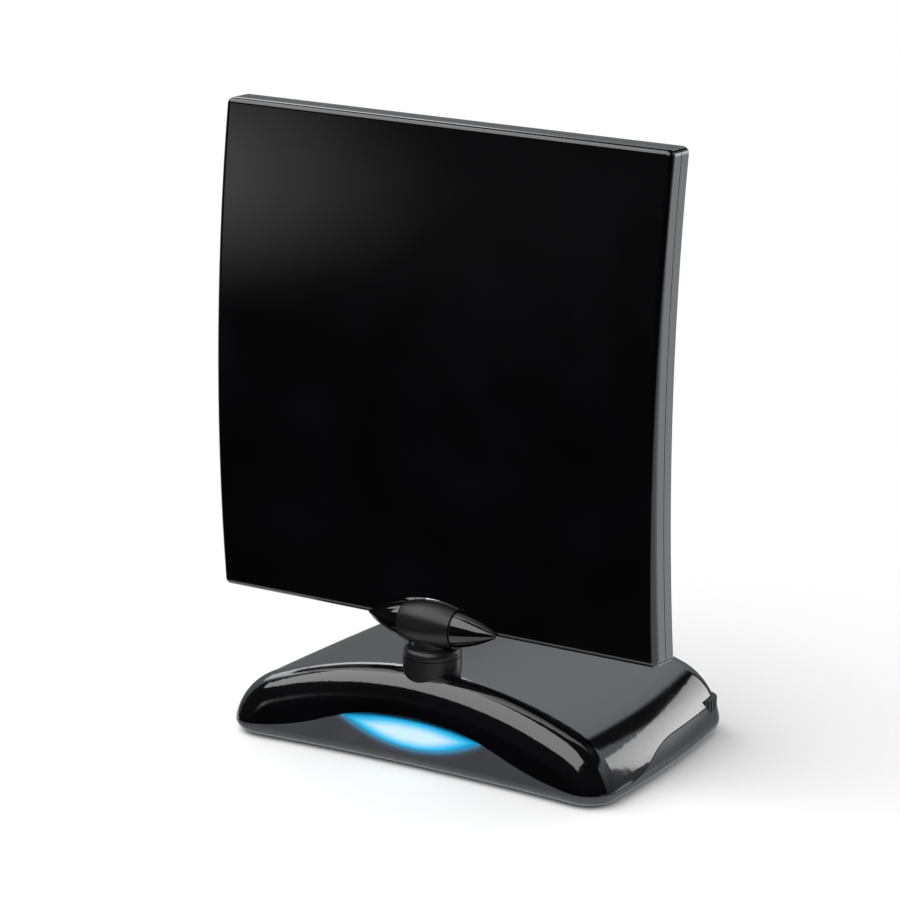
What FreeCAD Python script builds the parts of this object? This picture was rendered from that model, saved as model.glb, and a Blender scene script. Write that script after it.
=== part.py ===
"""Indoor television antenna: a bowed panel on a tilting, swivelling neck over a weighted, lit base.

Millimetres, +Z up, front towards -Y. The origin lies on the floor, at the centre of the whole part's box.
Pieces of the panel are drawn upright about the tilt axis and then leaned back together.
"""
import FreeCAD, Part
import math
import os
from types import SimpleNamespace

import Sketcher
from FreeCAD import Placement, Rotation, Vector

SIZES = {
    # Base, outside
    "front_width": 175.2,
    "base_width": 176.8,
    "rear_width": 162.0,
    "back_width": 155.0,
    "base_depth": 118.0,
    "front_hollow": 4.5,
    "crown_height": 38.3,
    "crown_radius": 200.0,
    "end_round": 28.0,
    "front_round": 13.0,
    "back_round": 17.0,
    "sole_round": 5.0,
    "base_wall": 2.2,
    "base_floor": 2.2,
    # Parting line between the base's two halves
    "wave_low": 5.6,
    "wave_high": 21.5,
    "wave_run": 84.0,
    "side_high": 13.6,
    "side_start": 20.0,
    "side_run": 44.0,
    "parting_gap": 0.35,
    # Feet
    "foot_radius": 6.0,
    "foot_height": 2.0,
    "foot_stand": 0.8,
    "foot_front_x": 72.0,
    "foot_front_y": 22.0,
    "foot_back_x": 64.0,
    "foot_back_y": 88.0,
    # Light in the front
    "lens_half": 31.0,
    "lens_low": 9.3,
    "light_board_width": 54.0,
    "light_board_low": 10.0,
    "light_board_high": 19.0,
    "light_board_thick": 0.8,
    "light_thick": 0.9,
    "light_size": 3.5,
    "light_pitch": 18.0,
    "light_room": 0.7,
    "light_post": 4.0,
    "light_post_x": 22.0,
    # Neck and swivel
    "neck_setback": 20.1,
    "collar_radius": 11.5,
    "collar_top": 43.0,
    "post_radius": 10.4,
    "journal_radius": 8.0,
    "shoulder_height": 26.0,
    "chamber_radius": 9.0,
    "stem_radius": 6.9,
    "stem_low": 20.0,
    "swivel_gap": 0.3,
    "flange_thick": 3.6,
    "flange_round": 2.4,
    "throat_radius": 8.2,
    "washer_thick": 0.8,
    "clip_thick": 1.5,
    "clip_radius": 8.6,
    "ring_boss_wall": 1.6,
    "ring_boss_high": 8.0,
    "running_gap": 0.05,
    "seat_gap": 0.1,
    # Hinge
    "hinge_height": 55.3,
    "barrel_length": 23.0,
    "barrel_radius": 9.4,
    "barrel_end_radius": 7.6,
    "horn_gap": 0.8,
    "horn_step": 0.3,
    "horn_reach": 29.5,
    "horn_swell": 0.8,
    "horn_tip": 0.4,
    "notch_room": 1.0,
    "trunnion_radius": 4.0,
    "trunnion_inner": 4.0,
    "trunnion_outer": 17.0,
    "channel_radius": 1.8,
    "channel_x": 19.5,
    # Panel
    "panel_width": 200.0,
    "panel_height": 196.5,
    "panel_depth": 14.2,
    "panel_bow": 6.3,
    "panel_wall": 1.8,
    "panel_corner": 2.6,
    "panel_edge": 2.4,
    "panel_gap": 0.4,
    "panel_lean": 1.8,
    "panel_setback": 0.5,
    "panel_drop": 0.5,
    # Antenna board inside the panel
    "aerial_width": 160.0,
    "aerial_height": 120.0,
    "aerial_thick": 1.2,
    "aerial_offset": 6.9,
    "aerial_raise": 5.0,
    "panel_boss_x": 70.0,
    "panel_boss_z": 50.0,
    "panel_boss_radius": 4.2,
    "panel_screw_radius": 1.4,
    "panel_head_radius": 2.8,
    "panel_head_thick": 1.6,
    "panel_screw_bite": 2.3,
    "copper_thick": 0.3,
    "copper_track": 6.0,
    "loop_inner_x": 8.0,
    "loop_outer_x": 63.0,
    "loop_half_height": 44.0,
    "balun_size": 15.0,
    "balun_thick": 3.2,
    # Amplifier board and what stands on it
    "amp_width": 96.0,
    "amp_depth": 56.0,
    "amp_thick": 1.6,
    "amp_front": 44.0,
    "socket_axis": 6.5,
    "amp_boss_radius": 3.5,
    "amp_boss_inset": 6.0,
    "amp_screw_radius": 1.25,
    "amp_head_radius": 2.4,
    "amp_head_thick": 1.6,
    "can_width": 40.0,
    "can_depth": 30.0,
    "can_height": 8.0,
    "can_wall": 0.4,
    "can_left": -38.0,
    "can_front": 56.0,
    "coax_x": -20.0,
    "coax_radius": 4.75,
    "coax_flange_radius": 5.6,
    "coax_core_radius": 3.0,
    "coax_contact_radius": 0.6,
    "coax_block": 13.0,
    "coax_block_depth": 10.0,
    "socket_reach": 8.0,
    "jack_x": 14.0,
    "jack_width": 9.0,
    "jack_height": 11.0,
    "jack_depth": 13.0,
    "jack_bore": 3.0,
    "jack_pin": 1.0,
    "jack_bore_depth": 9.5,
    # Gain control in the rear right corner
    "wheel_radius": 9.0,
    "wheel_thick": 4.4,
    "wheel_show": 2.4,
    "wheel_bearing": 4.0,
    "wheel_slot_gap": 0.5,
    "wheel_grips": 30,
    "grip_radius": 0.45,
    "pot_size": 11.0,
    "pot_height": 4.0,
    "pot_spindle": 2.0,
    # Weights and fasteners
    "ballast_inner_x": 57.0,
    "ballast_width": 19.0,
    "ballast_front": 36.0,
    "ballast_length": 46.0,
    "ballast_height": 10.0,
    "screw_front_x": 46.0,
    "screw_front_y": 22.0,
    "screw_back_x": 54.0,
    "screw_back_y": 104.0,
    "screw_radius": 1.5,
    "screw_head_radius": 3.0,
    "screw_head_thick": 2.2,
    "screw_sink": 3.2,
    "screw_tip": 22.0,
    "boss_radius": 4.5,
    "boss_top": 12.0,
    # Leads
    "lead_radius": 1.25,
    "lead_bend": 4.0,
    "thin_lead_radius": 0.8,
}

doc = FreeCAD.newDocument("indoor_antenna")
sheet = doc.addObject("Spreadsheet::Sheet", "Sizes")
for row, (alias, number) in enumerate(SIZES.items(), start=1):
    sheet.set(f"A{row}", alias)
    sheet.set(f"B{row}", str(number))
    sheet.setAlias(f"B{row}", alias)
doc.recompute()


class Dim:
    """A length that carries both its value and the sheet formula that gives it."""

    def __init__(self, value, formula):
        self.value = float(value)
        self.formula = formula

    def __add__(self, other):
        other = dim(other)
        return Dim(self.value + other.value, f"({self.formula} + {other.formula})")

    def __sub__(self, other):
        other = dim(other)
        return Dim(self.value - other.value, f"({self.formula} - {other.formula})")

    def __mul__(self, other):
        other = dim(other)
        return Dim(self.value * other.value, f"({self.formula} * {other.formula})")

    def __truediv__(self, other):
        other = dim(other)
        return Dim(self.value / other.value, f"({self.formula} / {other.formula})")

    def __neg__(self):
        return Dim(-self.value, f"(-{self.formula})")

    def __radd__(self, other):
        return dim(other) + self

    def __rsub__(self, other):
        return dim(other) - self

    def __rmul__(self, other):
        return dim(other) * self


def dim(thing):
    return thing if isinstance(thing, Dim) else Dim(thing, f"({thing})")


def root(length):
    return Dim(math.sqrt(length.value), f"sqrt({length.formula})")


def cosine(angle):
    return Dim(math.cos(math.radians(angle.value)), f"cos({angle.formula})")


def sine(angle):
    return Dim(math.sin(math.radians(angle.value)), f"sin({angle.formula})")


def arc_radius(half_chord, rise):
    """Radius of the arc with this half chord and rise."""
    return (half_chord * half_chord + rise * rise) / (2 * rise)


d = SimpleNamespace(**{alias: Dim(sheet.get(alias), f"Sizes.{alias}") for alias in SIZES})
ZERO = dim(0)
nodes = []


# Helpers: document objects with bound sizes

def bind(thing, **dims):
    for name, length in dims.items():
        thing.setExpression(name, dim(length).formula)


def place(thing, x, y, z, rotation=Rotation()):
    thing.Placement = Placement(Vector(dim(x).value, dim(y).value, dim(z).value), rotation)
    for axis, length in zip("xyz", (x, y, z)):
        thing.setExpression(f"Placement.Base.{axis}", dim(length).formula)


def block(name, low, high):
    """A box between two corners."""
    thing = doc.addObject("Part::Box", name)
    spans = [dim(top) - bottom for bottom, top in zip(low, high)]
    bind(thing, Length=spans[0], Width=spans[1], Height=spans[2])
    place(thing, *low)
    return thing


ALONG = {"x": Rotation(Vector(0, 1, 0), 90), "y": Rotation(Vector(1, 0, 0), -90), "z": Rotation()}


def rod(name, radius, start, length, axis="z"):
    """A round bar that starts at a point and runs along an axis."""
    thing = doc.addObject("Part::Cylinder", name)
    bind(thing, Radius=radius, Height=length)
    place(thing, *start, rotation=ALONG[axis])
    return thing


def fuse(name, *pieces):
    if len(pieces) == 1:
        return pieces[0]
    thing = doc.addObject("Part::MultiFuse", name)
    thing.Shapes = list(pieces)
    return thing


def cut(name, base, *tools):
    thing = doc.addObject("Part::Cut", name)
    thing.Base = base
    thing.Tool = fuse(f"{name}_cuts", *tools)
    return thing


def common(name, base, tool):
    thing = doc.addObject("Part::Common", name)
    thing.Base = base
    thing.Tool = tool
    return thing


def group(name, pieces):
    """Separate like solids that share one node."""
    thing = doc.addObject("Part::Compound", name)
    thing.Links = list(pieces)
    return thing


def node(label, thing):
    thing.Label = label
    nodes.append(thing)
    return thing


def panel_node(label, thing):
    """A node of the panel: stands on the tilt axis and leans back."""
    thing.Placement = Placement(Vector(0, axis_y.value, d.hinge_height.value),
                                Rotation(Vector(-1, 0, 0), d.panel_lean.value))
    thing.setExpression("Placement.Base.y", axis_y.formula)
    thing.setExpression("Placement.Base.z", d.hinge_height.formula)
    thing.setExpression("Placement.Rotation.Angle", d.panel_lean.formula)
    return node(label, thing)


# Helpers: bodies and sketches

def new_body(name):
    return doc.addObject("PartDesign::Body", name)


def sketch(body, plane, name, offset=ZERO):
    """A sketch on one of its body's own planes, moved along the plane's normal by offset."""
    made = body.newObject("Sketcher::SketchObject", name)
    support = [feature for feature in body.Origin.OriginFeatures if feature.Role == plane][0]
    made.AttachmentSupport = (support, [""])
    made.MapMode = "FlatFace"
    made.AttachmentOffset = Placement(Vector(0, 0, offset.value), Rotation())
    made.setExpression("AttachmentOffset.Base.z", offset.formula)
    return made


def side_curve(start, end, radius):
    """A straight side, or an arc: its centre is left of the side for a positive radius, else right."""
    p = Vector(start[0].value, start[1].value, 0)
    q = Vector(end[0].value, end[1].value, 0)
    if radius is None:
        return Part.LineSegment(p, q), 1, 2
    size = abs(radius.value)
    chord = q - p
    left = Vector(-chord.y, chord.x, 0).normalize()
    reach = math.sqrt(max(size ** 2 - chord.Length ** 2 / 4, 0.0))
    side = 1 if radius.value > 0 else -1
    centre = (p + q) * 0.5 + left * (side * reach)
    first, last = (p, q) if side > 0 else (q, p)
    begin = math.atan2(first.y - centre.y, first.x - centre.x)
    finish = math.atan2(last.y - centre.y, last.x - centre.x)
    curve = Part.ArcOfCircle(Part.Circle(centre, Vector(0, 0, 1), size), begin, finish)
    return (curve, 1, 2) if side > 0 else (curve, 2, 1)


def trace(made, corners, arcs=None):
    """Draw a closed profile through bound corners; arcs maps a side's number to its radius."""
    arcs = arcs or {}
    corners = [(dim(x), dim(y)) for x, y in corners]
    ends = []
    for number, corner in enumerate(corners):
        following = corners[(number + 1) % len(corners)]
        curve, first, last = side_curve(corner, following, arcs.get(number))
        ends.append((made.addGeometry(curve, False), first, last))
    for number, (index, first, _) in enumerate(ends):
        before, _, last = ends[number - 1]
        made.addConstraint(Sketcher.Constraint("Coincident", before, last, index, first))
        for kind, length in zip(("DistanceX", "DistanceY"), corners[number]):
            constraint = made.addConstraint(Sketcher.Constraint(kind, -1, 1, index, first, length.value))
            made.setExpression(f"Constraints[{constraint}]", length.formula)
        if number in arcs:
            size = arcs[number] if arcs[number].value > 0 else -arcs[number]
            constraint = made.addConstraint(Sketcher.Constraint("Radius", index, size.value))
            made.setExpression(f"Constraints[{constraint}]", size.formula)


def add_feature(body, kind, name, profile=None, **dims):
    feature = body.newObject(f"PartDesign::{kind}", name)
    if profile is not None:
        feature.Profile = profile
    bind(feature, **dims)
    body.Tip = feature
    return feature


def extrude(body, kind, name, profile, length, both_ways=False):
    feature = add_feature(body, kind, name, profile, Length=length)
    if both_ways:
        feature.SideType = "Symmetric"
    doc.recompute()
    return feature


def revolve(body, name, profile, axis):
    feature = body.newObject("PartDesign::Revolution", name)
    feature.Profile = profile
    feature.ReferenceAxis = (profile, [axis])
    feature.Angle = 360
    body.Tip = feature
    doc.recompute()
    return feature


def round_edges(body, name, radius, wanted):
    """Fillet the edges of the body so far for which wanted(edge) is true."""
    base = body.Tip
    names = [f"Edge{number}" for number, edge in enumerate(base.Shape.Edges, start=1) if wanted(edge)]
    feature = body.newObject("PartDesign::Fillet", name)
    feature.Base = (base, names)
    bind(feature, Radius=radius)
    body.Tip = feature
    doc.recompute()
    return feature


def edge_points(edge):
    first, last = edge.ParameterRange
    return [edge.valueAt(first), edge.valueAt((first + last) / 2), edge.valueAt(last)]


def near(a, b):
    return abs(a - b) < 0.01


def lead(label, points, radius):
    """An insulated lead: straight runs joined by tangent arcs, swept with a round section."""
    points = [Vector(*[dim(v).value for v in point]) for point in points]
    edges = []
    start = points[0]
    for before, corner, after in zip(points, points[1:], points[2:]):
        way_in = (corner - before).normalize()
        way_out = (after - corner).normalize()
        turn = way_in.getAngle(way_out)
        room = 0.45 * min((corner - before).Length, (after - corner).Length)
        tangent = min(d.lead_bend.value * math.tan(turn / 2), room)
        bend = tangent / math.tan(turn / 2)
        inward = (way_out - way_in).normalize()
        centre = corner + inward * (bend / math.cos(turn / 2))
        arc_start = corner - way_in * tangent
        arc_end = corner + way_out * tangent
        edges.append(Part.LineSegment(start, arc_start).toShape())
        edges.append(Part.Arc(arc_start, centre - inward * bend, arc_end).toShape())
        start = arc_end
    edges.append(Part.LineSegment(start, points[-1]).toShape())
    path = Part.Wire(edges)
    section = Part.Wire([Part.makeCircle(radius.value, points[0], points[1] - points[0])])
    tube = path.makePipeShell([section], True, False)
    if abs(tube.Volume / (math.pi * radius.value ** 2 * path.Length) - 1) > 0.01:
        raise RuntimeError(f"{label}: the swept volume is wrong")
    thing = doc.addObject("Part::Feature", label)
    thing.Shape = tube
    return thing


# Places that several pieces share

hollow_radius = arc_radius(d.base_width / 2, d.front_hollow)
corner_x = d.base_width / 2 - d.front_round
corner_reach = hollow_radius + d.front_round
front_tip = (d.front_hollow - corner_reach + root(corner_reach * corner_reach - corner_x * corner_x))
front_y = -(d.base_depth + d.socket_reach + front_tip) / 2
back_y = front_y + d.base_depth
axis_y = front_y + d.neck_setback
floor_z = d.foot_stand + d.base_floor
amp_top = d.side_high - d.socket_axis
amp_low = amp_top - d.amp_thick
front_wall_y = front_y + d.front_hollow + d.base_wall
light_front = front_wall_y + d.light_room
light_board_y = light_front + d.light_thick
light_back = light_board_y + d.light_board_thick
stem_top = d.collar_top + d.swivel_gap
flange_top = stem_top + d.flange_thick
horn_start = d.barrel_length / 2 + d.horn_gap
bow_radius = arc_radius(d.panel_height / 2, d.panel_bow)
bow_y = d.panel_setback - d.panel_bow + bow_radius
bow_z = d.panel_height / 2 - d.panel_drop
aerial_front = d.panel_setback - d.panel_bow + d.aerial_offset
aerial_back = aerial_front + d.aerial_thick
aerial_z = bow_z + d.aerial_raise
wheel_reach = d.back_round - d.wheel_radius + d.wheel_show
wheel_x = d.back_width / 2 - d.back_round + wheel_reach * cosine(d.wheel_bearing)
wheel_y = back_y - d.back_round + wheel_reach * sine(d.wheel_bearing)
wheel_low = d.side_high - d.wheel_thick / 2
pot_top = wheel_low - d.swivel_gap
base_screws_at = [(side * d.screw_front_x, front_y + d.screw_front_y) for side in (-1, 1)]
base_screws_at += [(side * d.screw_back_x, front_y + d.screw_back_y) for side in (-1, 1)]
amp_screws_at = [(side * (d.amp_width / 2 - d.amp_boss_inset), front_y + d.amp_front + depth)
                 for side in (-1, 1) for depth in (d.amp_boss_inset, d.amp_depth - d.amp_boss_inset)]
panel_screws_at = [(side * d.panel_boss_x, aerial_z + level * d.panel_boss_z)
                   for side in (-1, 1) for level in (-1, 1)]


# Base: outer form, hollow and the two halves

def base_form(name, inset, bottom, sole=None):
    """The base's arched form with rounded ends, drawn in by inset on every side but the bottom."""
    body = new_body(name)
    crown = d.crown_radius - inset
    crown_z = d.crown_height - d.crown_radius
    end_round = d.end_round - inset
    deep = -d.base_floor
    sections = []
    for tag, y, width in (("front", front_y - d.front_hollow, d.front_width),
                          ("broad", front_y + d.front_round + d.front_hollow / 3, d.base_width),
                          ("rear", back_y - d.back_round, d.rear_width),
                          ("back", back_y - inset, d.back_width)):
        end_x = width / 2 - d.end_round
        span = d.crown_radius - d.end_round
        rise = root(span * span - end_x * end_x)
        end_z = crown_z + rise
        foot_x = end_x + root(end_round * end_round - (end_z - deep) * (end_z - deep))
        meet_x = end_x * crown / span
        meet_z = crown_z + rise * crown / span
        section = sketch(body, "XZ_Plane", f"{name}_{tag}_section", -y)
        trace(section, [(-foot_x, deep), (foot_x, deep), (meet_x, meet_z), (-meet_x, meet_z)],
              {1: end_round, 2: crown, 3: end_round})
        sections.append(section)
    loft = add_feature(body, "AdditiveLoft", f"{name}_loft", sections[0])
    loft.Sections = sections[1:]
    doc.recompute()

    hollow = hollow_radius + inset
    hollow_y = front_y + d.front_hollow - hollow_radius
    reach = d.base_width / 2 + d.base_wall
    reach_y = hollow_y + root(hollow * hollow - reach * reach)
    ahead = front_y - 2 * d.front_hollow
    plan = sketch(body, "XY_Plane", f"{name}_front_plan")
    trace(plan, [(-reach, ahead), (reach, ahead), (reach, reach_y), (-reach, reach_y)], {2: hollow})
    extrude(body, "Pocket", f"{name}_front", plan, 4 * d.crown_height, both_ways=True)
    under = sketch(body, "XY_Plane", f"{name}_under_plan", bottom - d.base_depth / 2)
    trace(under, [(-reach, ahead), (reach, ahead), (reach, back_y), (-reach, back_y)])
    extrude(body, "Pocket", f"{name}_under", under, d.base_depth, both_ways=True)

    def raised(edge):
        return any(p.z > bottom.value + d.base_wall.value for p in edge_points(edge))

    def on_front(edge):
        return raised(edge) and all(near(math.hypot(p.x, p.y - hollow_y.value), hollow.value)
                                    for p in edge_points(edge))

    def on_back(edge):
        return raised(edge) and all(near(p.y, (back_y - inset).value) for p in edge_points(edge))

    round_edges(body, f"{name}_front_round", d.front_round - inset, on_front)
    round_edges(body, f"{name}_back_round", d.back_round - inset, on_back)
    if sole is not None:
        round_edges(body, f"{name}_sole_round", sole,
                    lambda edge: all(near(p.z, bottom.value) for p in edge_points(edge)))
    return body


def parting_block(name, lift):
    """Everything below the parting line, raised by lift: a wave across the front, a rise along the sides."""
    low = d.wave_low + lift
    wide = d.base_width / 2 + d.base_wall
    deep = -d.base_floor
    rise = d.wave_high - d.wave_low
    mid = low + rise / 2
    bend = arc_radius(d.wave_run, rise) / 2
    front = new_body(f"{name}_front")
    wave = sketch(front, "XZ_Plane", f"{name}_wave", -(front_y + d.side_start))
    trace(wave, [(wide, low), (d.wave_run, low), (d.wave_run / 2, mid), (-d.wave_run / 2, mid),
                 (-d.wave_run, low), (-wide, low), (-wide, deep), (wide, deep)],
          {1: -bend, 2: bend, 3: -bend})
    extrude(front, "Pad", f"{name}_wave_pad", wave, d.side_start + d.base_wall)
    start = front_y + d.side_start
    side_rise = d.side_high - d.wave_low
    side_mid = low + side_rise / 2
    side_bend = arc_radius(d.side_run, side_rise) / 2
    rear = new_body(f"{name}_rear")
    slope = sketch(rear, "YZ_Plane", f"{name}_slope")
    trace(slope, [(start, deep), (back_y + d.base_wall, deep), (back_y + d.base_wall, low + side_rise),
                  (start + d.side_run, low + side_rise), (start + d.side_run / 2, side_mid), (start, low)],
          {3: side_bend, 4: -side_bend})
    extrude(rear, "Pad", f"{name}_slope_pad", slope, 2 * wide, both_ways=True)
    return fuse(name, front, rear)


def eye_prism(name, grow):
    """The eye shape of the light, through the front wall: its upper edge is the parting line."""
    body = new_body(name)
    rise = d.wave_high - d.wave_low
    bend = arc_radius(d.wave_run, rise) / 2
    half = d.lens_half + 3 * grow
    corner = d.wave_high - bend + root(bend * bend - half * half)
    low = d.lens_low - grow
    eye = sketch(body, "XZ_Plane", f"{name}_eye", -(front_wall_y + d.base_wall))
    trace(eye, [(-half, corner), (half, corner)], {0: -bend, 1: -arc_radius(half, corner - low)})
    extrude(body, "Pad", f"{name}_pad", eye, d.front_hollow + 3 * d.base_wall)
    return body


def connector_holes(tag):
    """Openings for the two sockets and the gain wheel, through both halves."""
    room = d.seat_gap
    depth = 2 * d.base_wall + d.seat_gap
    start = back_y - depth + d.base_wall
    coax = rod(f"coax_hole_{tag}", d.coax_flange_radius + room, (d.coax_x, start, d.side_high), depth, "y")
    jack = block(f"jack_hole_{tag}",
                 (d.jack_x - d.jack_width / 2 - room, start, amp_top - room),
                 (d.jack_x + d.jack_width / 2 + room, start + depth, amp_top + d.jack_height + room))
    wheel = rod(f"wheel_slot_{tag}", d.wheel_radius + d.wheel_slot_gap,
                (wheel_x, wheel_y, wheel_low - d.swivel_gap), d.wheel_thick + 2 * d.swivel_gap)
    return [coax, jack, wheel]


outer = base_form("base_outer", ZERO, d.foot_stand, d.sole_round)
inner = base_form("base_inner", d.base_wall, floor_z)
core = base_form("base_core", d.base_wall / 2, floor_z)
shell = cut("base_shell", outer, inner)


def base_top_cover():
    posts = [rod(f"cover_post_{n}", d.boss_radius, (x, y, d.boss_top), d.crown_height)
             for n, (x, y) in enumerate(base_screws_at)]
    posts = common("cover_posts", fuse("cover_post_rods", *posts), core)
    skin = cut("cover_skin", shell, parting_block("above_parting", d.parting_gap))
    pilots = [rod(f"cover_pilot_{n}", d.screw_radius + d.running_gap, (x, y, floor_z),
                  d.screw_tip - floor_z + d.running_gap)
              for n, (x, y) in enumerate(base_screws_at)]
    neck_hole = rod("neck_hole", d.post_radius + d.seat_gap, (0, axis_y, floor_z), d.crown_height)
    return cut("cover", fuse("cover_blank", skin, posts), neck_hole, *pilots, *connector_holes("cover"))


def base_lower_shell():
    skin = common("lower_skin", shell, parting_block("below_parting", ZERO))
    sunk = floor_z - d.base_floor / 2
    bosses = [rod(f"lower_boss_{n}", d.boss_radius, (x, y, sunk), d.boss_top - sunk)
              for n, (x, y) in enumerate(base_screws_at)]
    bosses += [rod(f"amp_boss_{n}", d.amp_boss_radius, (x, y, sunk), amp_low - sunk)
               for n, (x, y) in enumerate(amp_screws_at)]
    ring = rod("ring_boss", d.post_radius + d.seat_gap + d.ring_boss_wall, (0, axis_y, sunk),
               d.ring_boss_high - sunk)
    posts = [block(f"light_post_{n}",
                   (side * d.light_post_x - d.light_post / 2, light_back, sunk),
                   (side * d.light_post_x + d.light_post / 2, light_back + d.light_post, d.light_board_high))
             for n, side in enumerate((-1, 1))]
    pedestal = block("pot_pedestal", (wheel_x - d.pot_size / 2, wheel_y - d.pot_size / 2, sunk),
                     (wheel_x + d.pot_size / 2, wheel_y + d.pot_size / 2, pot_top - d.pot_height))
    pedestal = common("pot_pedestal_trimmed", pedestal, core_low)
    blank = fuse("lower_blank", skin, *bosses, ring, *posts, pedestal)
    cuts = [rod("ring_bore", d.post_radius + d.seat_gap, (0, axis_y, floor_z), d.ring_boss_high)]
    cuts.append(block("ring_window", (-d.lead_bend, axis_y, floor_z),
                      (d.lead_bend, axis_y + 2 * d.post_radius, d.ring_boss_high + d.base_wall)))
    for n, (x, y) in enumerate(base_screws_at):
        cuts.append(rod(f"lower_hole_{n}", d.screw_radius + d.running_gap, (x, y, ZERO),
                        d.boss_top + d.base_wall))
        cuts.append(rod(f"lower_sink_{n}", d.screw_head_radius + d.seat_gap, (x, y, ZERO),
                        d.foot_stand + d.screw_sink))
    for n, (x, y) in enumerate(amp_screws_at):
        cuts.append(rod(f"amp_hole_{n}", d.amp_screw_radius + d.running_gap, (x, y, floor_z), amp_top))
    for n, (x, y) in enumerate(feet_at):
        cuts.append(rod(f"foot_recess_{n}", d.foot_radius + d.seat_gap, (x, y, ZERO), d.foot_height))
    cuts.append(eye_prism("lens_opening", d.seat_gap))
    return cut("lower", blank, *cuts, *connector_holes("lower"))


feet_at = [(side * d.foot_front_x, front_y + d.foot_front_y) for side in (-1, 1)]
feet_at += [(side * d.foot_back_x, front_y + d.foot_back_y) for side in (-1, 1)]
core_low = base_form("base_core_low", d.base_wall / 2, d.foot_stand + d.base_floor / 2)
node("base_top_cover", base_top_cover())
node("base_lower_shell", base_lower_shell())
node("light_lens", common("lens", shell, eye_prism("lens_eye", ZERO)))


# Base: feet, weights, screws

for place_name, (x, y) in zip(("front_left", "front_right", "back_left", "back_right"), feet_at):
    node(f"foot_{place_name}", rod(f"foot_{place_name}", d.foot_radius, (x, y, ZERO), d.foot_height))

for place_name, side in (("left", -1), ("right", 1)):
    middle = side * (d.ballast_inner_x + d.ballast_width / 2)
    node(f"ballast_{place_name}",
         block(f"ballast_{place_name}",
               (middle - d.ballast_width / 2, front_y + d.ballast_front, floor_z),
               (middle + d.ballast_width / 2, front_y + d.ballast_front + d.ballast_length,
                floor_z + d.ballast_height)))


def base_screw(number, x, y):
    seat = d.foot_stand + d.screw_sink
    head = rod(f"base_screw_head_{number}", d.screw_head_radius, (x, y, seat - d.screw_head_thick),
               d.screw_head_thick)
    shank = rod(f"base_screw_shank_{number}", d.screw_radius, (x, y, seat - d.screw_head_thick / 2),
                d.screw_tip - seat + d.screw_head_thick / 2)
    return fuse(f"base_screw_{number}", head, shank)


base_screws = [base_screw(n, x, y) for n, (x, y) in enumerate(base_screws_at)]
node("base_screws", group("base_screw_set", base_screws))


# Base: light behind the lens

board = block("light_board", (-d.light_board_width / 2, light_board_y, d.light_board_low),
              (d.light_board_width / 2, light_back, d.light_board_high))
node("light_board", board)
light_mid = (d.light_board_low + d.light_board_high) / 2
light_half = d.light_size / 2
lights = [block(f"light_{n}", (step * d.light_pitch - light_half, light_front, light_mid - light_half),
                (step * d.light_pitch + light_half, light_board_y, light_mid + light_half))
          for n, step in enumerate((-1, 0, 1))]
node("lights", group("light_set", lights))


# Base: amplifier board and what stands on it

amp_blank = block("amp_blank", (-d.amp_width / 2, front_y + d.amp_front, amp_low),
                  (d.amp_width / 2, front_y + d.amp_front + d.amp_depth, amp_top))
amp_board_holes = [rod(f"amp_board_hole_{n}", d.amp_screw_radius + d.running_gap, (x, y, floor_z), amp_top)
                   for n, (x, y) in enumerate(amp_screws_at)]
node("amplifier_board", cut("amp_board", amp_blank, *amp_board_holes))


def board_screw(number, x, y):
    head = rod(f"board_screw_head_{number}", d.amp_head_radius, (x, y, amp_top), d.amp_head_thick)
    shank = rod(f"board_screw_shank_{number}", d.amp_screw_radius, (x, y, floor_z), amp_top - floor_z)
    return fuse(f"board_screw_{number}", head, shank)


board_screws = [board_screw(n, x, y) for n, (x, y) in enumerate(amp_screws_at)]
node("board_screws", group("board_screw_set", board_screws))

can_front = front_y + d.can_front
can_outside = block("can_outside", (d.can_left, can_front, amp_top),
                    (d.can_left + d.can_width, can_front + d.can_depth, amp_top + d.can_height))
can_inside = block("can_inside", (d.can_left + d.can_wall, can_front + d.can_wall, amp_low),
                   (d.can_left + d.can_width - d.can_wall, can_front + d.can_depth - d.can_wall,
                    amp_top + d.can_height - d.can_wall))
node("shield_can", cut("can", can_outside, can_inside))

coax_back = back_y - d.base_wall - d.seat_gap
coax_block = block("coax_block", (d.coax_x - d.coax_block / 2, coax_back - d.coax_block_depth, amp_top),
                   (d.coax_x + d.coax_block / 2, coax_back, amp_top + 2 * d.socket_axis))
coax_flange = rod("coax_flange", d.coax_flange_radius, (d.coax_x, coax_back - d.base_wall, d.side_high),
                  back_y - coax_back + d.base_wall, "y")
coax_barrel = rod("coax_barrel", d.coax_radius, (d.coax_x, coax_back, d.side_high),
                  back_y + d.socket_reach - coax_back, "y")
coax_length = back_y + d.socket_reach - coax_back + d.coax_block_depth / 2
coax_bore = rod("coax_bore", d.coax_core_radius + d.running_gap,
                (d.coax_x, coax_back - d.coax_block_depth / 2, d.side_high), coax_length, "y")
node("coax_socket", cut("coax", fuse("coax_blank", coax_block, coax_flange, coax_barrel), coax_bore))
coax_rod = rod("coax_rod", d.coax_core_radius, (d.coax_x, coax_back - d.coax_block_depth / 2, d.side_high),
               coax_length - d.running_gap, "y")
coax_contact = rod("coax_contact", d.coax_contact_radius, (d.coax_x, coax_back, d.side_high),
                   coax_length, "y")
node("coax_core", cut("coax_insulator", coax_rod, coax_contact))

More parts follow.
